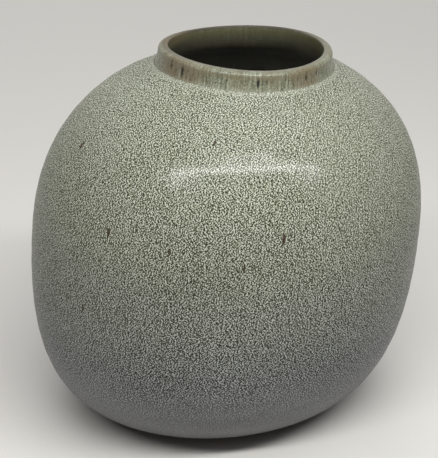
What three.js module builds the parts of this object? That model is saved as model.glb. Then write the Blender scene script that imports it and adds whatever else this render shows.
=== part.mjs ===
// A round stoneware vase with a short flared collar. Two thrown bowls are luted together at the belly,
// the collar drops into the upper bowl, a turned ring carries the lower one, and three coats of glaze cover the clay.
// Millimetres, +Z up. The vase stands on z = 0 with its axis on Z.
import * as THREE from 'three';

// Outside of the glazed body
const bellyRadius = 100;
const glazeLineRadius = 60;
const footHeight = 3.5;
const lowerHeight = 96.5;
const upperHeight = 84.8;

// Curves of the body: a slope is in degrees from level, a sweep or fullness is the reach of a curve's handle
const footSlope = 17;
const footSweep = 24.7;
const lowerFullness = 66;
const upperFullness = 58;
const shoulderSweep = 19.5;
const shoulderSlope = 26;

// Clay wall, the coats on it, and the gaps between pieces
const clayWall = 5.5;
const glazeCoat = 0.6;
const linerCoat = 0.5;
const coatBond = 0.1;
const slipFilm = 0.3;

// Collar: finished bore, lip thickness, height over the shoulder, and how far the foot stands out from the lip.
// The top of the lip falls away outwards by lipDrop. Both of its edges are rounded, the outer one more.
const mouthRadius = 40;
const lipThickness = 4.9;
const collarHeight = 10.2;
const collarFlare = 1.3;
const flareRise = 3;
const lipDrop = 0.6;
const lipRound = 2.6;
const edgeRound = 1.2;
const spigotWall = 2.2;
const rimLap = 8;

// Rebated joint at the belly: a tongue on the lower bowl stands inside the upper one
const tongueHeight = 4;

// Turned foot ring, let into a groove in the underside of the lower bowl
const ringSetback = 2;
const ringWidth = 9;
const ringTaper = 1;
const ringChamfer = 1.2;
const ringSeatDepth = 1.3;
const recessDepth = 4.5;

// Facets round the axis, along each body curve, along the flare, over each edge of the lip and along the throat
const turns = 44;
const bodySteps = 8;
const flareSteps = 3;
const lipSteps = 4;
const throatSteps = 5;

// Heights and depths that follow from the sizes above
const bellyHeight = footHeight + lowerHeight;
const shoulderHeight = bellyHeight + upperHeight;
const crestHeight = shoulderHeight + collarHeight;
const lipRadius = mouthRadius + lipThickness;
const collarFootRadius = lipRadius + collarFlare;
const clayDepth = glazeCoat + coatBond;
const insideDepth = clayDepth + clayWall;
const linerDepth = insideDepth + coatBond;
const finishedDepth = linerDepth + linerCoat;

const point = (radius, height) => new THREE.Vector2(radius, height);

// A point a given reach away, at a slope in degrees from level
function reach(from, distance, slope) {
  const angle = THREE.MathUtils.degToRad(slope);
  return point(from.x + distance * Math.cos(angle), from.y + distance * Math.sin(angle));
}

// The body's outline: one curve from the foot to the belly, one from the belly to the collar, both upright at the belly
const glazeLine = point(glazeLineRadius, footHeight);
const belly = point(bellyRadius, bellyHeight);
const shoulderEnd = point(collarFootRadius, shoulderHeight);
const lowerCurve = new THREE.CubicBezierCurve(
  glazeLine,
  reach(glazeLine, footSweep, footSlope),
  point(bellyRadius, bellyHeight - lowerFullness),
  belly,
);
const upperCurve = new THREE.CubicBezierCurve(
  belly,
  point(bellyRadius, bellyHeight + upperFullness),
  reach(shoulderEnd, shoulderSweep, -shoulderSlope),
  shoulderEnd,
);

// Points along a curve that runs upwards, moved square to it into the wall by a depth
function inset(curve, depth, steps) {
  return Array.from({ length: steps + 1 }, (_, step) => {
    const along = curve.getTangent(step / steps);
    const surface = curve.getPoint(step / steps);
    return point(surface.x - depth * along.y, surface.y + depth * along.x);
  });
}

// The whole wall at one depth, from the foot to the collar
function wallFace(depth) {
  return [...inset(lowerCurve, depth, bodySteps), ...inset(upperCurve, depth, bodySteps).slice(1)];
}

// The collar at one depth: up the hollow flare, over both edges of the lip and down the bore to the end of its coat
const lapHeight = crestHeight - rimLap;
function collarFace(depth) {
  const flareFoot = point(collarFootRadius, shoulderHeight + slipFilm);
  const flareBend = point(lipRadius, shoulderHeight + flareRise);
  const outerEdge = point(lipRadius, crestHeight - lipDrop);
  const innerEdge = point(mouthRadius, crestHeight);
  const roundStart = point(lipRadius, outerEdge.y - lipRound);
  const across = innerEdge.clone().sub(outerEdge).normalize();
  const roundEnd = outerEdge.clone().addScaledVector(across, lipRound);
  const edgeStart = innerEdge.clone().addScaledVector(across, -edgeRound);
  const edgeEnd = point(mouthRadius, crestHeight - edgeRound);
  return [
    ...inset(new THREE.QuadraticBezierCurve(flareFoot, flareBend, roundStart), depth, flareSteps),
    ...inset(new THREE.QuadraticBezierCurve(roundStart, outerEdge, roundEnd), depth, lipSteps).slice(1),
    ...inset(new THREE.QuadraticBezierCurve(edgeStart, innerEdge, edgeEnd), depth, lipSteps),
    point(mouthRadius + depth, lapHeight),
  ];
}

// One turned piece: an outline that runs up its outside and down its inside, carried round the axis
function turned(name, outline, look) {
  const closed = outline[0].x > 0 ? [...outline, outline[0]] : outline;
  const geometry = new THREE.LatheGeometry(closed, turns).rotateX(Math.PI / 2);
  const mesh = new THREE.Mesh(geometry, new THREE.MeshStandardMaterial({ metalness: 0, ...look }));
  mesh.name = name;
  return mesh;
}

const bareClay = { color: '#a08f76', roughness: 0.9 };

// Seats that two pieces share
const lowerOutside = inset(lowerCurve, clayDepth, bodySteps);
const lowerInside = inset(lowerCurve, insideDepth, bodySteps);
const upperOutside = inset(upperCurve, clayDepth, bodySteps);
const upperInside = inset(upperCurve, insideDepth, bodySteps);
const tongueRadius = bellyRadius - clayDepth - clayWall / 2;
const tongueTop = bellyHeight + tongueHeight;
const ringSeat = lowerOutside[0].y + ringSeatDepth;
const ringRadius = glazeLineRadius - ringSetback;
const ringBore = ringRadius - ringWidth;
const boreRadius = mouthRadius + clayDepth;
const spigotRadius = boreRadius + spigotWall;
const collarSeat = upperOutside[bodySteps].y;

// The throat at one depth over the clay: it leaves the wall one facet below the collar, along the wall's own slope,
// and sweeps up into the bore, where it ends just under the collar's coat
function throatFace(depth) {
  const start = upperInside[bodySteps - 1];
  const along = upperCurve.getTangent(1 - 1 / bodySteps);
  const corner = point(boreRadius, start.y + (boreRadius - start.x) * along.y / along.x);
  const end = point(boreRadius, lapHeight - slipFilm);
  return inset(new THREE.QuadraticBezierCurve(start, corner, end), depth, throatSteps);
}

// Height at which a line of points that runs inwards crosses a radius
function heightAt(line, radius) {
  const next = line.findIndex((place) => place.x < radius);
  const [before, after] = line.slice(next - 1, next + 1);
  return THREE.MathUtils.mapLinear(radius, before.x, after.x, before.y, after.y);
}

// Foot ring: bare clay, slightly narrower at the table, with both lower edges bevelled
function footRing() {
  const top = ringSeat - slipFilm;
  return turned('foot_ring', [
    point(ringBore + ringChamfer, 0),
    point(ringRadius - ringTaper - ringChamfer, 0),
    point(ringRadius - ringTaper, ringChamfer),
    point(ringRadius, top),
    point(ringBore, top),
    point(ringBore, ringChamfer),
  ], bareClay);
}

// Lower bowl: floor and wall in one, grooved underneath for the ring, with the tongue of the belly joint on its rim
function lowerBowl() {
  return turned('lower_bowl', [
    point(0, recessDepth),
    point(ringBore - slipFilm, recessDepth),
    point(ringBore - slipFilm, ringSeat),
    point(ringRadius + slipFilm, ringSeat),
    point(ringRadius + slipFilm, lowerOutside[0].y),
    ...lowerOutside,
    point(tongueRadius, bellyHeight),
    point(tongueRadius, tongueTop),
    point(bellyRadius - insideDepth, tongueTop),
    ...lowerInside.toReversed(),
    point(0, lowerInside[0].y),
  ], bareClay);
}

// Upper bowl: rebated over the tongue, open at the top, with a level seat for the collar round the opening
function upperBowl() {
  const opening = spigotRadius + slipFilm;
  const rebate = tongueRadius + slipFilm;
  const throat = throatFace(0);
  return turned('upper_bowl', [
    point(rebate, bellyHeight + slipFilm),
    point(bellyRadius - clayDepth, bellyHeight + slipFilm),
    ...upperOutside.slice(1),
    point(opening, collarSeat),
    point(opening, heightAt(throat, opening)),
    ...throat.filter((place) => place.x > opening).toReversed(),
    ...upperInside.slice(1, -2).toReversed(),
    point(bellyRadius - insideDepth, tongueTop + slipFilm),
    point(rebate, tongueTop + slipFilm),
  ], bareClay);
}

// Neck collar: a flared ring with a rounded lip, whose spigot hangs in the opening of the upper bowl
function neckCollar() {
  const face = collarFace(clayDepth);
  const flange = collarSeat + slipFilm;
  const throat = throatFace(0);
  return turned('neck_collar', [
    point(spigotRadius, heightAt(throat, spigotRadius)),
    point(spigotRadius, flange),
    point(face[0].x, flange),
    ...face.slice(0, -1),
    ...throat.filter((place) => place.x < spigotRadius).toReversed(),
  ], bareClay);
}

// Coat of speckled glaze over both bowls, from the glaze line to the collar
function bodyGlaze() {
  const outline = [...wallFace(0), ...wallFace(glazeCoat).toReversed()];
  return turned('body_glaze', outline, { color: '#8f8d7c', roughness: 0.42 });
}

// Second dip over the collar and lip, lapping down into the bore
function collarGlaze() {
  const outline = [...collarFace(0), ...collarFace(glazeCoat).toReversed()];
  return turned('collar_glaze', outline, { color: '#857b63', roughness: 0.38 });
}

// Glaze poured inside: over the floor, up the wall, round the throat and up the bore to the collar's coat
function linerGlaze() {
  const outer = [...wallFace(linerDepth).slice(0, -2), ...throatFace(linerDepth - insideDepth)];
  const inner = [...wallFace(finishedDepth).slice(0, -2), ...throatFace(finishedDepth - insideDepth)];
  return turned('liner_glaze', [
    point(0, outer[0].y),
    ...outer,
    ...inner.toReversed(),
    point(0, inner[0].y),
  ], { color: '#4b4738', roughness: 0.4 });
}

const vase = new THREE.Group();
vase.add(footRing(), lowerBowl(), upperBowl(), neckCollar(), bodyGlaze(), collarGlaze(), linerGlaze());

export default vase;
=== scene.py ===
from functools import cached_property

import bpy
import numpy as np
from mathutils import Matrix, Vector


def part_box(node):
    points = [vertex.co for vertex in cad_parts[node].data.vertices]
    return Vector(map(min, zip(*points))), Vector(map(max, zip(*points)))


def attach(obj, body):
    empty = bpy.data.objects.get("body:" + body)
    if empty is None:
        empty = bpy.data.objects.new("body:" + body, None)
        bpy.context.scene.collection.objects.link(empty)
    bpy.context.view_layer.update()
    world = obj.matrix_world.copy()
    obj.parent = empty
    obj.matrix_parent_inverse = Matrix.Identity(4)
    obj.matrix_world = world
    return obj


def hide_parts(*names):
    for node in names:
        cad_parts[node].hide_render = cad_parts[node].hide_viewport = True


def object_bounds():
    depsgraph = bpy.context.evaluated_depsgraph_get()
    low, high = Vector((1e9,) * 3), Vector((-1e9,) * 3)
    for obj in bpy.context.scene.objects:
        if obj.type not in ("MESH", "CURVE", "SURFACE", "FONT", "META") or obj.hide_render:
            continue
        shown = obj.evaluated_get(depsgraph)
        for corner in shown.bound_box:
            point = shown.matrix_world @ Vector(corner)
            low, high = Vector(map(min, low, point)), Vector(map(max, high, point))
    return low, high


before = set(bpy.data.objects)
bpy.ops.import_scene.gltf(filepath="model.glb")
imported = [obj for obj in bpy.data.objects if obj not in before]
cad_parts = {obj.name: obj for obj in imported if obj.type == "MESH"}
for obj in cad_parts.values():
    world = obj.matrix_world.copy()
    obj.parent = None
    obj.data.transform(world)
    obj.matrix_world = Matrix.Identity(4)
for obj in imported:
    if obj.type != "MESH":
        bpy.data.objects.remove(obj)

cad_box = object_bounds()
MM = 0.001


# FOOT RING
# A ring of bare stoneware that carries the vase. It is turned from leather-hard clay, so fine tool lines run
# round it, and it is luted with slip into a shallow groove under the base. Both lower edges are eased by hand.
ring_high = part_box("foot_ring")[1]
belly_radius = cad_box[1].x
RING_WIDTH = 9 * MM
RING_TAPER = 1 * MM
RING_EASE = 1.6 * MM
TURNS = 360
CRISP_EDGE = np.radians(40)
CLAY_CLOUD = 14 * MM
CLAY_GRIT = 0.7 * MM
CLAY_IRON = 2.4 * MM
CLAY_LINES = 0.8 * MM
CLAY_RELIEF = 0.25 * MM

# The vase was thrown by hand, so its collar is a little out of true: a shallow saddle that also leans to the back
shoulder_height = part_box("body_glaze")[1].z
SADDLE = 0.95 * MM
SADDLE_TURN = np.radians(30)
LEAN = 0.35 * MM
LEAN_LEVEL = 1 / 6
LEAN_TURN = np.radians(120)
HANDLED_REACH = 15 * MM


def out_of_true(points):
    """Lowers points by saddle * (1 - cos 2(angle - turn)) + lean * (level - cos(angle - turn)), never below zero, by a
    smooth step that starts some way under the collar and is whole at its foot. Nothing moves up or outwards."""
    x, y, z = points.T
    angle = np.arctan2(y, x)
    saddle = SADDLE * (1 - np.cos(2 * (angle - SADDLE_TURN)))
    dip = np.maximum(0, saddle + LEAN * (LEAN_LEVEL - np.cos(angle - LEAN_TURN)))
    share = np.clip(1 + (z - shoulder_height) / HANDLED_REACH, 0, 1)
    return np.stack([x, y, z - dip * share**2 * (3 - 2 * share)], axis=1)


def eased(corners, reach, steps=6):
    """Rounds each corner of a closed outline: a quadratic curve with the corner as its middle handle, from a reach
    before the corner to a reach after it, or to the middle of a shorter edge."""
    corners = np.array(corners, float)
    t = np.linspace(0, 1, steps)[None, :, None]

    def towards(others):
        edge = others - corners
        length = np.linalg.norm(edge, axis=1, keepdims=True)
        return corners + edge / length * np.minimum(reach, length / 2)

    before, after = towards(np.roll(corners, 1, axis=0)), towards(np.roll(corners, -1, axis=0))
    bend = before[:, None] * (1 - t) ** 2 + 2 * corners[:, None] * t * (1 - t) + after[:, None] * t**2
    return bend.reshape(-1, 2)


def run_length(outline):
    """Distance along an outline from its start to each of its points: the sum of the steps between them."""
    return np.concatenate([[0], np.cumsum(np.linalg.norm(np.diff(outline, axis=0), axis=1))])


def turned(name, outline, ripple=0.0, pitch=1.0):
    """Carries an outline of (radius, height) rows round the axis: x = r cos a, y = r sin a, z = h at even angles a.
    The outline runs up its outside and down its inside, and closes on itself or on the axis. A ripple presses the
    surface in by ripple * (1 + sin(2 pi rise / pitch - a)) / 2, a spiral like that of fingers on the wheel. The
    attributes rise and climb hold the distance along the outline from its start, and the direction along it."""
    outline = np.asarray(outline, float)
    on_axis = outline[0, 0] == 0
    rise = run_length(outline)
    along = np.gradient(outline, axis=0)
    along /= np.linalg.norm(along, axis=1, keepdims=True)
    angle = np.linspace(0, 2 * np.pi, TURNS, endpoint=False)
    press = np.broadcast_to(ripple, rise.shape)[:, None] * (1 + np.sin(2 * np.pi * rise[:, None] / pitch - angle)) / 2
    radius = outline[:, :1] - press * along[:, 1:]
    height = outline[:, 1:] + press * along[:, :1]

    def round_axis(outwards, upwards):
        return np.stack([outwards * np.cos(angle), outwards * np.sin(angle), upwards + 0 * angle], axis=2)

    rings, climb = round_axis(radius, height), round_axis(along[:, :1], along[:, 1:])
    rows = slice(1, -1) if on_axis else slice(None)
    index = np.arange(rings[rows].shape[0] * TURNS).reshape(-1, TURNS)
    below = index[:-1] if on_axis else index
    above = index[1:] if on_axis else np.roll(index, -1, axis=0)
    quads = np.stack([below, np.roll(below, -1, axis=1), np.roll(above, -1, axis=1), above], axis=2)
    faces = quads.reshape(-1, 4).tolist()
    points, climb = rings[rows].reshape(-1, 3), climb[rows].reshape(-1, 3)
    risen = np.repeat(rise[rows], TURNS)
    if on_axis:
        first, last = len(points), len(points) + 1
        points = np.vstack([points, [[0, 0, outline[0, 1]], [0, 0, outline[-1, 1]]]])
        risen = np.append(risen, rise[[0, -1]])
        climb = np.vstack([climb, np.zeros((2, 3))])
        start, end = index[0], index[-1]
        faces += np.stack([0 * start + first, np.roll(start, -1), start], axis=1).tolist()
        faces += np.stack([end, np.roll(end, -1), 0 * end + last], axis=1).tolist()
    mesh = bpy.data.meshes.new(name)
    mesh.from_pydata(out_of_true(points), [], faces)
    mesh.attributes.new("rise", "FLOAT", "POINT").data.foreach_set("value", risen)
    mesh.attributes.new("climb", "FLOAT_VECTOR", "POINT").data.foreach_set("vector", climb.ravel())
    mesh.shade_smooth()
    mesh.set_sharp_from_angle(angle=CRISP_EDGE)
    piece = bpy.data.objects.new(name, mesh)
    bpy.context.scene.collection.objects.link(piece)
    return piece


class Socket:
    """One output of a node. Arithmetic with sockets or numbers adds Math nodes, so 1 - mask is one node, and a | b is
    the larger of two."""

    def __init__(self, finish, output):
        self.finish, self.output = finish, output

    def maths(self, operation, *terms):
        return self.finish.node("Math", {"operation": operation}, dict(enumerate(terms)))

    def __add__(self, other):
        return self.maths("ADD", self, other)

    def __sub__(self, other):
        return self.maths("SUBTRACT", self, other)

    def __rsub__(self, other):
        return self.maths("SUBTRACT", other, self)

    def __mul__(self, other):
        return self.maths("MULTIPLY", self, other)

    def __or__(self, other):
        return self.maths("MAXIMUM", self, other)

    __radd__, __rmul__, __ror__ = __add__, __mul__, __or__

    def over(self, low, high):
        """0 below low, 1 above high, and a smooth step between."""
        settings = {"interpolation_type": "SMOOTHSTEP"}
        return self.finish.node("MapRange", settings, {"Value": self, "From Min": low, "From Max": high})


class Finish:
    """A material under construction, or a world, with one method that adds any node."""

    def __init__(self, name, kind=bpy.data.materials):
        self.material = kind.new(name)
        self.material.use_nodes = True
        self.tree = self.material.node_tree
        self.tree.nodes.clear()

    @cached_property
    def place(self):
        return self.node("TexCoord", output="Object")

    @cached_property
    def rise(self):
        return self.node("Attribute", {"attribute_name": "rise"}, output="Fac")

    @cached_property
    def climb(self):
        return self.node("Attribute", {"attribute_name": "climb"}, output="Vector")

    def node(self, kind, settings={}, sockets={}, output=0):
        """Adds a node: its type, its settings (stops are a ramp's places and colours), then values or links."""
        node = self.tree.nodes.new("ShaderNode" + kind)
        for key, value in settings.items():
            if key == "stops":
                ramp = node.color_ramp.elements
                while len(ramp) < len(value):
                    ramp.new(0.5)
                for element, (position, shade) in zip(ramp, value):
                    element.position, element.color = position, shade
            else:
                setattr(node, key, value)
        for key, value in sockets.items():
            if isinstance(value, Socket):
                self.tree.links.new(value.output, node.inputs[key])
            else:
                node.inputs[key].default_value = value
        return Socket(self, node.outputs[output]) if node.outputs else None

    def vector(self, operation, *terms):
        return self.node("VectorMath", {"operation": operation}, dict(enumerate(terms)))

    def blend(self, share, first, second):
        """A colour that goes from first at share 0 to second at share 1."""
        return self.node("Mix", {"data_type": "RGBA"}, {0: share, 6: first, 7: second}, output=2)

    def noise(self, size, detail, place=None):
        """Soft cloudy values around 0.5, with blotches of about the given size."""
        return self.node("TexNoise", {}, {"Vector": place or self.place, "Scale": 1 / size, "Detail": detail})

    def cells(self, size, place=None, output="Distance"):
        """Distance from scattered points, in cells of the given size, or each cell's own random colour."""
        return self.node("TexVoronoi", {}, {"Vector": place or self.place, "Scale": 1 / size}, output)

    def elsewhere(self, *metres):
        """Object coordinates moved far off, to read an unrelated part of a pattern."""
        return self.vector("ADD", self.place, metres)

    def crowded(self, size, step, upright=0.15):
        """Grains crowded at an even spacing, around 0: a noise less itself a step round the wall, plus another noise
        less itself a step up the wall. The differences leave no broad clouds, and the first counts a little more, so
        the grains stand upright."""

        def change(start, direction):
            end = self.vector("ADD", start, self.vector("MULTIPLY", direction, (step,) * 3))
            return self.noise(size, detail=0, place=start) - self.noise(size, detail=0, place=end)

        aside = self.vector("NORMALIZE", self.vector("CROSS_PRODUCT", (0, 0, 1), self.place))
        return change(self.place, aside) * (1 + upright) + change(self.elsewhere(1, 0, 0), self.climb) * (1 - upright)

    def length(self, vector):
        return self.node("VectorMath", {"operation": "LENGTH"}, {0: vector}, output="Value")

    def running(self, stretch):
        """Coordinates round the belly and up the wall, drawn out up the wall so that patterns run like wet glaze."""
        girth = self.vector("NORMALIZE", self.vector("MULTIPLY", self.place, (1, 1, 0)))
        belt = self.vector("MULTIPLY", girth, (belly_radius,) * 3)
        climb = self.node("CombineXYZ", {}, {"Z": self.rise * (1 / stretch)})
        return self.vector("ADD", belt, climb)

    def mark(self, angle, rise, half_width, half_length):
        """1 on a single mark at an angle in degrees round the vase and a distance up the wall, fading to 0 at its edge.
        Its width is measured round the belly."""
        turn = np.radians(angle)
        centre = (belly_radius * np.cos(turn), belly_radius * np.sin(turn), rise)
        offset = self.vector("SUBTRACT", self.running(stretch=1), centre)
        return 1 - self.length(self.vector("DIVIDE", offset, (half_width, half_width, half_length))).over(0.4, 1.0)

    def seen(self):
        """1 for rays that show the surroundings in the picture, straight or in the gloss of a piece, 0 for others."""
        rays = [self.node("LightPath", output=f"Is {kind} Ray") for kind in ("Camera", "Glossy", "Transmission")]
        return rays[0] + rays[1] + rays[2]

    def surface(self, relief, depth, **sockets):
        """Ends the material: one shader, with a relief of the given depth as its bump."""
        normal = self.node("Bump", {}, {"Height": relief, "Distance": depth, "Strength": 1.0})
        named = {key.replace("_", " "): value for key, value in sockets.items()}
        shader = self.node("BsdfPrincipled", {}, {"Normal": normal, **named})
        self.node("OutputMaterial", {}, {"Surface": shader})
        return self.material


def colour(code):
    """A colour as written for the screen, such as #a08f76, in the linear values that a shader takes."""
    screen = np.array([int(code[i : i + 2], 16) for i in (1, 3, 5)]) / 255
    linear = np.where(screen <= 0.04045, screen / 12.92, ((screen + 0.055) / 1.055) ** 2.4)
    return (*linear, 1.0)


def bare_clay():
    """Fired stoneware without glaze: warm buff, clouded, with dark iron grains and pale sand, and fine tool lines."""
    clay = Finish("bare_clay")
    cloud = clay.noise(CLAY_CLOUD, detail=4)
    grit = clay.noise(CLAY_GRIT, detail=2)
    iron = 1 - clay.cells(CLAY_IRON).over(0.14, 0.26)
    lines = clay.noise(CLAY_LINES, detail=1, place=clay.running(stretch=0.35))
    body = clay.blend(cloud.over(0.3, 0.7), colour("#8d7a60"), colour("#b09c7d"))
    sand = clay.blend(grit.over(0.55, 0.75) * 0.6, body, colour("#cdbd9f"))
    base = clay.blend(iron * 0.75, sand, colour("#4a3a2a"))
    return clay.surface(
        grit * 0.7 + lines * 0.5,
        CLAY_RELIEF,
        Base_Color=base,
        Roughness=0.8 + cloud * 0.15,
        Specular_IOR_Level=0.3,
    )


def fit_piece(piece, node, finish):
    """Gives a piece its material, and puts it on the vase in place of a node of the frame."""
    piece.data.materials.append(finish)
    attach(piece, "root")
    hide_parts(node)


clay_finish = bare_clay()
ring_bore = ring_high.x - RING_WIDTH
ring_corners = [
    (ring_bore + RING_TAPER, 0),
    (ring_high.x - RING_TAPER, 0),
    (ring_high.x, ring_high.z),
    (ring_bore, ring_high.z),
]
foot_ring = turned("turned_foot_ring", eased(ring_corners, RING_EASE))
fit_piece(foot_ring, "foot_ring", clay_finish)


# LOWER BOWL
# The first of two thrown bowls: floor and wall in one, of the same bare stoneware. Its underside is turned hollow
# inside the foot ring, and its rim carries the tongue of the joint at the belly.
BELLY_HEIGHT = 100 * MM
FOOT_SLOPE = np.radians(17)
FOOT_SWEEP = 24.7 * MM
LOWER_FULLNESS = 66 * MM
GLAZE_COAT = 0.6 * MM
COAT_BOND = 0.1 * MM
CLAY_WALL = 5.5 * MM
SLIP_FILM = 0.3 * MM
GLAZE_LINE_RADIUS = 60 * MM
RECESS_DEPTH = 4.5 * MM
TONGUE_HEIGHT = 4 * MM
TOOL_LINE = 0.12 * MM
TOOL_PITCH = 2.6 * MM
HOLLOW_STEPS = 120
clay_depth = GLAZE_COAT + COAT_BOND
inside_depth = clay_depth + CLAY_WALL
glaze_line_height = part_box("body_glaze")[0].z


def swept(start, start_handle, end_handle, end, steps):
    """A cubic curve in the plane of radius and height, with the weights (1-t)^3, 3t(1-t)^2, 3t^2(1-t) and t^3 on its
    four handles. Returns its points, and its outward normals: the direction of travel turned a quarter clockwise."""
    t = np.linspace(0, 1, steps + 1)[:, None]
    handles = np.array([start, start_handle, end_handle, end])
    points = np.hstack([(1 - t) ** 3, 3 * t * (1 - t) ** 2, 3 * t**2 * (1 - t), t**3]) @ handles
    along = np.hstack([-((1 - t) ** 2), (1 - t) * (1 - 3 * t), t * (2 - 3 * t), t**2]) @ handles
    along /= np.linalg.norm(along, axis=1, keepdims=True)
    return points, np.stack([along[:, 1], -along[:, 0]], axis=1)


def lower_face(depth, steps):
    """The lower wall at a depth under its glazed surface, from the glaze line at the foot up to the belly."""
    start = np.array([GLAZE_LINE_RADIUS, glaze_line_height])
    handle = start + FOOT_SWEEP * np.array([np.cos(FOOT_SLOPE), np.sin(FOOT_SLOPE)])
    under_belly = (belly_radius, BELLY_HEIGHT - LOWER_FULLNESS)
    points, outward = swept(start, handle, under_belly, (belly_radius, BELLY_HEIGHT), steps)
    return points - depth * outward


CLAY_STEPS = 40
lower_outside = lower_face(clay_depth, CLAY_STEPS)
lower_inside = lower_face(inside_depth, CLAY_STEPS)
ring_seat = ring_high.z + SLIP_FILM
tongue_radius = belly_radius - clay_depth - CLAY_WALL / 2
tongue_top = BELLY_HEIGHT + TONGUE_HEIGHT
hollow = np.linspace(0, ring_bore - SLIP_FILM, HOLLOW_STEPS)
hollow_height = RECESS_DEPTH + TOOL_LINE * np.sin(2 * np.pi * hollow / TOOL_PITCH) * (hollow > 0)
lower_outline = np.vstack([
    np.stack([hollow, hollow_height], axis=1),
    [(ring_bore - SLIP_FILM, ring_seat), (ring_high.x + SLIP_FILM, ring_seat)],
    [(ring_high.x + SLIP_FILM, lower_outside[0, 1])],
    lower_outside,
    [(tongue_radius, BELLY_HEIGHT), (tongue_radius, tongue_top), (belly_radius - inside_depth, tongue_top)],
    lower_inside[::-1],
    [(0, lower_inside[0, 1])],
])
lower_bowl = turned("thrown_lower_bowl", lower_outline)
fit_piece(lower_bowl, "lower_bowl", clay_finish)


# UPPER BOWL
# The second thrown bowl, turned over and luted on the first at the belly, where it is rebated over the tongue.
# It makes the shoulder, and a level seat round its opening takes the collar. The throat is smoothed in one sweep
# from the underside of the shoulder into the bore.
SHOULDER_SLOPE = np.radians(-26)
SHOULDER_SWEEP = 19.5 * MM
UPPER_FULLNESS = 58 * MM
SPIGOT_WALL = 2.2 * MM
LIP_THICKNESS = 4.9 * MM
COLLAR_FLARE = 1.3 * MM
COLLAR_HEIGHT = 10.2 * MM
RIM_LAP = 8 * MM
SEAM = 0.05 * MM
REBATE_STEP = 2
THROAT_STEP = CLAY_STEPS * 7 // 8
collar_foot_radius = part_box("collar_glaze")[1].x
lip_radius = collar_foot_radius - COLLAR_FLARE
mouth_radius = lip_radius - LIP_THICKNESS
crest_height = shoulder_height + COLLAR_HEIGHT
lap_height = crest_height - RIM_LAP


def upper_face(depth, steps):
    """The upper wall at a depth under its glazed surface, from the belly up to the foot of the collar."""
    end = np.array([collar_foot_radius, shoulder_height])
    handle = end + SHOULDER_SWEEP * np.array([np.cos(SHOULDER_SLOPE), np.sin(SHOULDER_SLOPE)])
    over_belly = (belly_radius, BELLY_HEIGHT + UPPER_FULLNESS)
    points, outward = swept((belly_radius, BELLY_HEIGHT), over_belly, handle, end, steps)
    return points - depth * outward


def bent(start, corner, end, depth, steps):
    """A quadratic curve that rounds a corner, moved in by a depth. As a cubic, its handles are 2/3 of the way to the
    corner from either end."""
    points, outward = swept(start, start + (corner - start) * 2 / 3, end + (corner - end) * 2 / 3, end, steps)
    return points - depth * outward


def throat(depth, steps):
    """The throat at a depth over the clay: it leaves the wall a little below the collar, along the wall's own slope,
    and sweeps up into the bore, where it ends at the lap of the collar's coat."""
    before, start, after = upper_inside[THROAT_STEP - 1 : THROAT_STEP + 2]
    slope = (after[1] - before[1]) / (after[0] - before[0])
    corner = np.array([bore_radius, start[1] + slope * (bore_radius - start[0])])
    return bent(start, corner, np.array([bore_radius, lap_height - SEAM]), depth, steps)


upper_outside = upper_face(clay_depth, CLAY_STEPS)
upper_inside = upper_face(inside_depth, CLAY_STEPS)
bore_radius = mouth_radius + clay_depth
spigot_radius = bore_radius + SPIGOT_WALL
opening = spigot_radius + SLIP_FILM
collar_seat = upper_outside[-1, 1]
clay_throat = throat(0, CLAY_STEPS)
spigot_end, opening_end = np.interp([spigot_radius, opening], *clay_throat[::-1].T)
rebate = tongue_radius + SLIP_FILM
upper_outline = np.vstack([
    [(rebate, BELLY_HEIGHT + SLIP_FILM), (belly_radius - clay_depth, BELLY_HEIGHT + SLIP_FILM)],
    upper_outside[1:],
    [(opening, collar_seat), (opening, opening_end)],
    clay_throat[clay_throat[:, 0] > opening][::-1],
    upper_inside[THROAT_STEP - 1 : REBATE_STEP : -1],
    [(belly_radius - inside_depth, tongue_top + SLIP_FILM), (rebate, tongue_top + SLIP_FILM)],
])
upper_bowl = turned("thrown_upper_bowl", upper_outline)
fit_piece(upper_bowl, "upper_bowl", clay_finish)


# NECK COLLAR
# A thrown ring of the same clay, hollow-flared at its foot, with a lip that falls away outwards from a crisp inner
# edge. Its spigot hangs in the opening of the upper bowl, and its flange is bedded in slip on the seat there.
FLARE_RISE = 3 * MM
LIP_DROP = 0.6 * MM
LIP_ROUND = 2.6 * MM
EDGE_ROUND = 1.2 * MM
COLLAR_STEPS = 8


def collar_face(depth, steps):
    """The collar at a depth under its glazed surface: up the hollow flare, round the outer edge of the lip, over its
    top, round the crisp inner edge, and down the bore to the end of the coat."""
    foot = np.array([collar_foot_radius, shoulder_height + SLIP_FILM])
    hollow = np.array([lip_radius, shoulder_height + FLARE_RISE])
    outer_edge = np.array([lip_radius, crest_height - LIP_DROP])
    inner_edge = np.array([mouth_radius, crest_height])
    across = (inner_edge - outer_edge) / np.linalg.norm(inner_edge - outer_edge)
    up = np.array([0, 1])
    lip_start = outer_edge - LIP_ROUND * up
    bore_start = inner_edge - EDGE_ROUND * up
    bore = np.linspace(bore_start, (mouth_radius, lap_height), steps)[1:]
    return np.vstack([
        bent(foot, hollow, lip_start, depth, steps),
        bent(lip_start, outer_edge, outer_edge + LIP_ROUND * across, depth, steps)[1:],
        bent(inner_edge - EDGE_ROUND * across, inner_edge, bore_start, depth, steps),
        bore + (depth, 0),
    ])


collar_clay = collar_face(clay_depth, COLLAR_STEPS)
flange = collar_seat + SLIP_FILM
collar_outline = np.vstack([
    [(spigot_radius, spigot_end), (spigot_radius, flange), (collar_clay[0, 0], flange)],
    collar_clay,
    clay_throat[clay_throat[:, 0] < spigot_radius][::-1],
])
neck_collar = turned("thrown_neck_collar", collar_outline)
fit_piece(neck_collar, "neck_collar", clay_finish)


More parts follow.
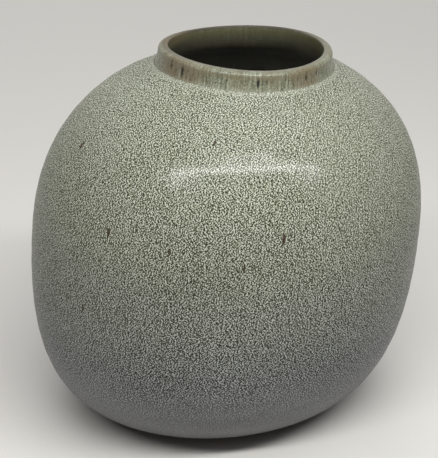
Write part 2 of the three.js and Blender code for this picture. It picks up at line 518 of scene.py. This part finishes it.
# INSIDE GLAZE
# A dark olive glaze poured in, swilled round and poured out. It lies over the floor, up the wall, round the throat
# and up the bore to the coat of the collar. The potter's finger spiral shows through it on the floor.
LINER_COAT = 0.5 * MM
THROAT_STEPS = 24
FINGER_SPIRAL = 0.25 * MM
FINGER_PITCH = 8 * MM
FLOOR_STEPS = 60
DRAIN_START, DRAIN_END = 25 * MM, 8 * MM
LINER_CLOUD = 18 * MM
LINER_RUNS = 3 * MM
LINER_RELIEF = 0.2 * MM


def inside_glaze():
    """Dark glaze, clouded from olive to near black, with paler runs. It drained off the throat, where it is thin and
    dark, and darker still with painted shade that carries on from the collar's bore. It lies thicker and greyer on the
    wall and floor, which are also painted much paler as painted light, since little light reaches them."""
    glaze = Finish("inside_glaze")
    cloud = glaze.noise(LINER_CLOUD, detail=4)
    runs = glaze.noise(LINER_RUNS, detail=3, place=glaze.running(stretch=6))
    level = glaze.node("SeparateXYZ", {}, {0: glaze.place}, output="Z")
    drained = level.over(shoulder_height - DRAIN_START, shoulder_height - DRAIN_END)
    # painted light: the wall and floor deep inside are painted much paler, since little light reaches them; painted
    # shade: the throat is darkest, carrying on from the collar's bore
    thick_and_painted_light = glaze.blend(cloud.over(0.3, 0.7), colour("#8a8982"), colour("#999890"))
    thin_and_painted_shade = glaze.blend(cloud.over(0.3, 0.7), colour("#35342a"), colour("#403e31"))
    base = glaze.blend(drained, thick_and_painted_light, thin_and_painted_shade)
    base = glaze.blend(runs.over(0.5, 0.75) * 0.3, base, colour("#5c5843"))
    return glaze.surface(
        cloud + runs * 0.3,
        LINER_RELIEF,
        Base_Color=base,
        Roughness=0.3 + runs * 0.2,
    )


liner_depth = inside_depth + COAT_BOND
finished_depth = liner_depth + LINER_COAT
liner_back, liner_front = (
    np.vstack([
        lower_face(depth, CLAY_STEPS),
        upper_face(depth, CLAY_STEPS)[1:THROAT_STEP],
        throat(depth - inside_depth, THROAT_STEPS),
    ])
    for depth in (liner_depth, finished_depth)
)
floor_radius = np.linspace(liner_front[0, 0], 0, FLOOR_STEPS)[1:]
liner_outline = np.vstack([
    [(0, liner_back[0, 1])],
    liner_back,
    liner_front[::-1],
    np.stack([floor_radius, np.full(floor_radius.shape, liner_front[0, 1])], axis=1),
])
spiral = np.where(np.arange(len(liner_outline)) > len(liner_outline) - len(floor_radius), FINGER_SPIRAL, 0)
spiral[-1] = 0
liner_glaze = turned("poured_inside_glaze", liner_outline, ripple=spiral, pitch=FINGER_PITCH)
fit_piece(liner_glaze, "liner_glaze", inside_glaze())


# BODY GLAZE
# The speckled coat over both bowls: pale grey-cream crystals crowded on an olive ground. It ran a little in the
# kiln, so the speckle is drawn out into short upright streaks on the belly, and it pools pale against the collar.
GLAZE_STEPS = 90
THROWING_RIDGE = 0.10 * MM
THROWING_PITCH = 11 * MM
POOL_WIDTH = 4 * MM
POOL_HEIGHT = 0.5 * MM
GLAZE_CLOUD = 45 * MM
GLAZE_GRAIN = 0.36 * MM
CRYSTALS = 0.7 * MM
CROWD_GRAIN, CROWD_STEP = 0.62 * MM, 0.58 * MM
STREAK_WIDTH = 0.55 * MM
MARK_SPACING = 19 * MM
GLAZE_RELIEF = 0.03 * MM
BROWN_EDGE = (0.5 * MM, 3 * MM)
glaze_front = np.vstack([lower_face(0, GLAZE_STEPS), upper_face(0, GLAZE_STEPS)[1:]])
glaze_back = np.vstack([lower_face(GLAZE_COAT, CLAY_STEPS), upper_face(GLAZE_COAT, CLAY_STEPS)[1:]])
wall_rise = run_length(glaze_front)
wall_length = wall_rise[-1]
pool = np.clip(1 - (wall_length - wall_rise) / POOL_WIDTH, 0, 1) ** 2
pooled = np.array([np.sin(-SHOULDER_SLOPE), np.cos(SHOULDER_SLOPE)]) * POOL_HEIGHT
glaze_outline = np.vstack([glaze_front + pool[:, None] * pooled, glaze_back[::-1]])
ridges = np.where(np.arange(len(glaze_outline)) < len(glaze_front), THROWING_RIDGE, 0)

# Dark iron marks, each at an angle round the vase and a height, with its half-width and half-length
IRON_MARKS = [
    (-75.5, 125 * MM, 1.15 * MM, 4.2 * MM),
    (-86.0, 112 * MM, 0.8 * MM, 2.8 * MM),
    (-98.8, 166 * MM, 1.0 * MM, 2.4 * MM),
    (-106.5, 118 * MM, 0.8 * MM, 2.4 * MM),
    (-125.5, 122 * MM, 1.15 * MM, 3.2 * MM),
    (-132.2, 81 * MM, 0.9 * MM, 2.8 * MM),
    (-150.5, 152 * MM, 1.5 * MM, 3.2 * MM),
]


def speckled_glaze():
    """Pale crystals on olive, from crowded grains, fine noise and rounded cells; drawn-out noise gives the streaks,
    and scattered cells the iron marks. The wall is greyer and darker low down: the grey is the glaze's own tone, and
    the darkening is painted shade for light that falls from above. The lowest band is painted pale, as painted light in
    place of the light the table throws up, and the coat pools pale at the collar."""
    glaze = Finish("speckled_glaze")
    height = glaze.rise * (1 / wall_length)
    cloud = glaze.noise(GLAZE_CLOUD, detail=3)
    grain = glaze.noise(GLAZE_GRAIN, detail=0)
    crystals = 1 - glaze.cells(CRYSTALS, glaze.elsewhere(0, 0, 1))
    crowd = glaze.crowded(CROWD_GRAIN, CROWD_STEP)
    streaks = glaze.noise(STREAK_WIDTH, detail=0, place=glaze.running(stretch=8))
    belly = height.over(0.2, 0.5) * (1 - height.over(0.6, 0.85))
    speckle = crowd * 1.6 + (grain - 0.5) * 1.2 + (crystals - 0.56) * 1.1 + (streaks - 0.5) * (0.3 + belly * 0.3)
    contrast = 0.6 + height.over(0.03, 0.22) * 0.44 - height.over(0.35, 0.6) * 0.15
    # painted shade: the belly band is painted a touch darker (belly * 0.02), for the fall of light
    tone = 0.5 - belly * 0.02 + speckle * contrast + (cloud - 0.5) * 0.15
    pale = [(0.0, colour("#2d2f1e")), (0.36, colour("#6d715d")), (0.66, colour("#979b88")), (1.0, colour("#c4c7b9"))]
    # painted shade: the ramp for low down is darker as well as greyer, for light that falls from above
    grey_and_painted_shade = [(0.0, colour("#1f2120")), (0.36, colour("#545655")), (0.66, colour("#808283")), (1.0, colour("#b4b6b8"))]
    high = glaze.node("ValToRGB", {"stops": pale}, {"Fac": tone})
    low = glaze.node("ValToRGB", {"stops": grey_and_painted_shade}, {"Fac": tone})
    base = glaze.blend(height.over(0.1, 0.7), low, high)
    # painted light: the lowest band of the wall is painted pale, in place of light thrown up from the table
    painted_bounce_light = 1 - height.over(0.06, 0.30)
    base = glaze.blend(painted_bounce_light * 0.65, base, colour("#b8b9bb"))
    scatter = glaze.running(stretch=4)
    chosen = glaze.node("SeparateColor", {}, {0: glaze.cells(MARK_SPACING, scatter, "Color")})
    marks = (1 - glaze.cells(MARK_SPACING, scatter).over(0.03, 0.06)) * chosen.over(0.6, 0.61)
    for angle, mark_height, half_width, half_length in IRON_MARKS:
        mark_rise = np.interp(mark_height, glaze_front[:, 1], wall_rise)
        marks = marks | glaze.mark(angle, mark_rise, half_width, half_length)
    base = glaze.blend(marks * 0.9, base, colour("#352218"))
    pool = glaze.rise.over(wall_length - POOL_WIDTH, wall_length - POOL_WIDTH / 3)
    base = glaze.blend(pool * 0.35, base, colour("#9fa192"))
    edge = 1 - glaze.rise.over(*BROWN_EDGE)
    base = glaze.blend(edge * 0.7, base, colour("#5e4f3a"))
    return glaze.surface(
        tone * 0.6 + cloud * 0.4,
        GLAZE_RELIEF,
        Base_Color=base,
        Roughness=0.55 - tone * 0.1,
        Specular_IOR_Level=0.0,
        Coat_Weight=0.36 + cloud * 0.1,
        Coat_Roughness=0.18,
    )


body_glaze = turned("speckled_body_glaze", glaze_outline, ripple=ridges, pitch=THROWING_PITCH)
fit_piece(body_glaze, "body_glaze", speckled_glaze())


# COLLAR GLAZE
# A second dip over the collar: smoother, thinner and browner, with fine upright streaks and a few dark marks. It
# breaks grey over the front of the lip, runs thin, brown and dry round its back, where the lip is also painted darker
# as painted shade on the side away from the light, and laps a little way into the bore, which is painted darker
# downwards as painted shade, with a patch of painted light at its top on the left.
RIM_STEPS = 20
RIM_STREAKS = 1.8 * MM
RIM_PATCHES = 12 * MM
RIM_GRAIN = 0.9 * MM
RIM_RELIEF = 0.15 * MM
collar_front = collar_face(0, RIM_STEPS)
collar_back = collar_face(GLAZE_COAT, COLLAR_STEPS)
collar_rise = run_length(collar_front)
lip_start, lip_top, lip_end = collar_rise[[RIM_STEPS, 2 * RIM_STEPS, 3 * RIM_STEPS + 1]]

# Dark marks and broader brown patches, each at an angle and a distance up the collar, with its half-width and
# half-length; then the part of the lip where the coat is thin and which is painted darker as painted shade, and a
# patch of painted light at the top of the bore on the left
COLLAR_MARKS = [
    (-143.8, 6.2 * MM, 2.6 * MM, 3.2 * MM),
    (-132.8, 5.0 * MM, 2.8 * MM, 4.6 * MM),
    (-81.2, 4.8 * MM, 2.6 * MM, 3.8 * MM),
    (-47.0, 5.6 * MM, 2.0 * MM, 3.2 * MM),
    (-37.0, 6.2 * MM, 2.0 * MM, 2.8 * MM),
]
BROWN_PATCHES = [
    (-138.0, 5.0 * MM, 50 * MM, 12 * MM),
    (-47.0, 5.0 * MM, 30 * MM, 12 * MM),
]
THIN_AND_SHADED_LIP = (120.0, lip_top, 190 * MM, 40 * MM)
BORE_PAINTED_LIGHT = (172.0, lip_end + 0.5 * MM, 75 * MM, 5.5 * MM)

# Where the bands of the coat begin and end, each as two distances up the collar, and how far the upper bands wander
FOOT_ENDS = (0.3 * MM, 1.6 * MM)
LINE_BEGINS = (lip_start - 1.6 * MM, lip_start)
LINE_ENDS = (lip_start + 0.4 * MM, lip_start + 1.6 * MM)
LIP_BEGINS = (lip_top - 1.6 * MM, lip_top + 0.4 * MM)
LIP_ENDS = (lip_end - 0.8 * MM, lip_end + 0.8 * MM)
BORE_BEGINS = (lip_end - 1.3 * MM, lip_end + 1.4 * MM)
BORE_PAINTED_SHADE = (lip_end, lip_end + RIM_LAP - EDGE_ROUND)
BAND_WANDER = 2 * MM


def collar_dip():
    """Olive-brown glaze in upright streaks, with bands that follow the distance up the collar: a grey lip that turns
    brown and dry towards the back, and darker there with painted shade, a brown line under it, and a bore painted
    darker downwards as painted shade, with a paler brown patch of painted light at its top on the left."""
    glaze = Finish("collar_glaze")
    streaks = glaze.noise(RIM_STREAKS, detail=2, place=glaze.running(stretch=5))
    patches = glaze.noise(RIM_PATCHES, detail=2)
    grain = glaze.noise(RIM_GRAIN, detail=2)
    tone = 0.52 + (streaks - 0.5) * 1.8 + (grain - 0.5) * 1.6
    stops = [(0.0, colour("#424332")), (0.45, colour("#70735e")), (1.0, colour("#9b9e8d"))]
    base = glaze.node("ValToRGB", {"stops": stops}, {"Fac": tone})
    base = glaze.blend(patches.over(0.45, 0.65) * 0.5, base, colour("#70684e"))
    for patch in BROWN_PATCHES:
        base = glaze.blend(glaze.mark(*patch) * 0.45, base, colour("#66543d"))
    for mark in COLLAR_MARKS:
        base = glaze.blend(glaze.mark(*mark) * 0.95, base, colour("#1a140c"))
    rise = glaze.rise + (patches - 0.5) * BAND_WANDER
    under_lip = rise.over(*LINE_BEGINS) * (1 - rise.over(*LINE_ENDS))
    base = glaze.blend(under_lip * 0.5, base, colour("#796f58"))
    lip = rise.over(*LIP_BEGINS) * (1 - glaze.rise.over(*LIP_ENDS))
    # painted shade: the lip is painted darker towards the back and left, away from the light, as well as thin and brown
    thin_and_painted_shade = lip * glaze.mark(*THIN_AND_SHADED_LIP)
    base = glaze.blend(lip * 0.75, base, colour("#716e61"))
    base = glaze.blend(thin_and_painted_shade * 0.85, base, colour("#2f271d"))
    bore = glaze.rise.over(*BORE_BEGINS)
    # painted shade: the bore is painted darker further down, away from the light
    shade = glaze.blend(glaze.rise.over(*BORE_PAINTED_SHADE), colour("#55533a"), colour("#35342a"))
    base = glaze.blend(bore * 0.9, base, shade)
    # painted light: a paler brown patch at the top of the bore on the left, where light falls on the wall
    base = glaze.blend(glaze.mark(*BORE_PAINTED_LIGHT) * 0.5, base, colour("#73684f"))
    foot = 1 - glaze.rise.over(*FOOT_ENDS)
    base = glaze.blend(foot * 0.2, base, colour("#999a8b"))
    return glaze.surface(
        streaks * 0.5 + grain * 0.3,
        RIM_RELIEF,
        Base_Color=base,
        Roughness=0.45 - tone * 0.1,
        Specular_IOR_Level=0.25,
        Coat_Weight=(0.25 + tone * 0.15) * (1 - thin_and_painted_shade * 0.8),
        Coat_Roughness=0.18,
    )


collar_outline = np.vstack([collar_front, collar_back[::-1]])
collar_glaze = turned("dipped_collar_glaze", collar_outline)
fit_piece(collar_glaze, "collar_glaze", collar_dip())


# TABLE AND LIGHT
# A plain pale table top that fades into a pale room, a long softbox above and in front of the vase, a wide diffuser
# overhead and a soft fill behind. The table and the room look pale, but throw little light back on the vase.
TABLE_REACH = 6.0
FADE_START, FADE_END = 0.3, 1.5
PAPER_FIBRE, PAPER_RELIEF = 3 * MM, 0.05 * MM
corners = np.array([(-1, -1, 0), (1, -1, 0), (1, 1, 0), (-1, 1, 0)]) * TABLE_REACH
table_mesh = bpy.data.meshes.new("pale_table")
table_mesh.from_pydata(corners, [], [(0, 1, 2, 3)])
table = bpy.data.objects.new("pale_table", table_mesh)
bpy.context.scene.collection.objects.link(table)
paper = Finish("pale_table")
fibre = paper.noise(PAPER_FIBRE, detail=3)
tint = paper.blend(fibre * 0.3, colour("#cccac5"), colour("#d4d2cd"))
tint = paper.blend(paper.seen(), colour("#8f8d89"), tint)
faded = paper.seen() * paper.length(paper.place).over(FADE_START, FADE_END)
table_mesh.materials.append(paper.surface(
    fibre,
    PAPER_RELIEF,
    Base_Color=paper.blend(faded, tint, colour("#000000")),
    Emission_Color=paper.blend(faded, colour("#000000"), colour("#c4c2be")),
    Emission_Strength=1.0,
    Specular_IOR_Level=0.0,
    Roughness=0.9,
))


def softbox(name, place, target, width, height, power, glints=True):
    """A rectangular lamp at a place, facing a target. One without glints gives soft light but no highlight."""
    lamp = bpy.data.lights.new(name, "AREA")
    lamp.shape = "RECTANGLE"
    lamp.size, lamp.size_y, lamp.energy = width, height, power
    stand = bpy.data.objects.new(name, lamp)
    stand.visible_glossy = glints
    bpy.context.scene.collection.objects.link(stand)
    away = np.array(place, float) - np.array(target, float)
    away /= np.linalg.norm(away)
    across = np.cross((0, 0, 1), away)
    across /= np.linalg.norm(across)
    turn = np.eye(4)
    turn[:3, :4] = np.stack([across, np.cross(away, across), away, place], axis=1)
    stand.matrix_world = Matrix(turn)


middle = (0, 0, BELLY_HEIGHT)
softbox("front_strip", (0.08, -0.62, 0.90), middle, width=1.7, height=0.15, power=14.8)
softbox("overhead", (0.25, -0.3, 2.0), middle, width=2.2, height=2.2, power=18)
softbox("back_fill", (-0.4, 1.5, 1.1), middle, width=1.4, height=1.4, power=13, glints=False)
room = Finish("pale_room", bpy.data.worlds)
shade = room.blend(room.seen(), colour("#5a5a5c"), colour("#c4c2be"))
room.node("OutputWorld", {}, {"Surface": room.node("Background", {}, {"Color": shade})})
bpy.context.scene.world = room.material


# CAMERA
# The picture is the lower left part of a wider one, tipped a little to the right. The lens looks past the vase,
# above it and to its right, so the picture plane stands at a slant to the line of sight.
FRAME_SIZE = np.array([438, 458])
MIDDLE_PIXEL = np.array([233.8, 212.65])
FOCAL_PIXELS = 1529.8
DISTANCE = 0.9
ELEVATION, ROLL = np.radians(22.14), np.radians(6.79)
PAN, TILT = np.radians(17.04), np.radians(14.8)
place = np.array(middle) + DISTANCE * np.array([0, -np.cos(ELEVATION), np.sin(ELEVATION)])
pitch = TILT - ELEVATION
ahead = np.array([np.sin(PAN) * np.cos(pitch), np.cos(PAN) * np.cos(pitch), np.sin(pitch)])
level = np.cross(ahead, (0, 0, 1))
level /= np.linalg.norm(level)
upright = np.cross(level, ahead)
right = np.cos(ROLL) * level + np.sin(ROLL) * upright
up = np.cos(ROLL) * upright - np.sin(ROLL) * level
sight = np.array(middle) - place
off_centre = (FRAME_SIZE / 2 - MIDDLE_PIXEL) / FOCAL_PIXELS
centre_line = ahead + (sight @ right / (sight @ ahead) + off_centre[0]) * right
centre_line += (sight @ up / (sight @ ahead) - off_centre[1]) * up
reach = np.linalg.norm(centre_line)
view = np.eye(4)
view[:3, :4] = np.stack([right, up, -centre_line / reach, place], axis=1)
lens = bpy.data.cameras.new("camera")
lens.lens = lens.sensor_width * FOCAL_PIXELS * reach / FRAME_SIZE.max()
camera = bpy.data.objects.new("camera", lens)
stand = bpy.data.objects.new("camera_stand", None)
for item in (stand, camera):
    bpy.context.scene.collection.objects.link(item)
camera.parent = stand
camera.matrix_parent_inverse = Matrix(view)
bpy.context.scene.camera = camera
bpy.context.scene.view_settings.view_transform = "Standard"
